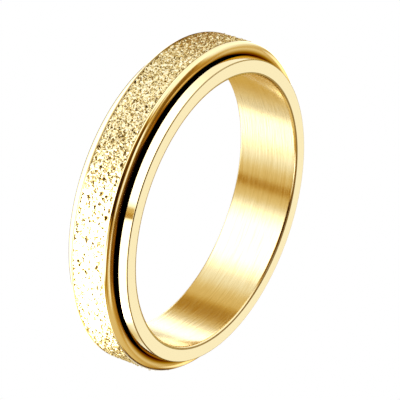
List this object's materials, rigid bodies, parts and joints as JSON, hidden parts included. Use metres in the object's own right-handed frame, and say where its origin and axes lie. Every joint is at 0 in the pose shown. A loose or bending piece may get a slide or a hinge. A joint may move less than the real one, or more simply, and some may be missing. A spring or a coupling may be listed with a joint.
{
  "type": "spinner ring",
  "caption": "Narrow finger ring whose blasted, polished-edged outer band spins in a channel between the rims of a brushed inner band.",
  "frame": {"origin": "centre of the ring's lower face, on the surface that it lies on", "axes": "+Z along the ring's axis, from the lower face to the upper; the ring is round, so +X is free"},
  "size_m": [0.02, 0.02, 0.0041],
  "materials": {
    "brushed_gold": "gold-plated steel, polished rims, finger hole brushed round its circumference",
    "blasted_gold": "gold-plated steel, polished edges round a coarse glittering blasted field"
  },
  "bodies": {
    "band": {"inner_band": "brushed_gold"},
    "spinner": {"spinner": "blasted_gold"}
  },
  "joints": [
    {"name": "spinner_spin", "type": "hinge", "parent": "band", "child": "spinner", "pos_m": [0, 0, 0.00205], "axis": [0, 0, 1], "continuous": true}
  ]
}
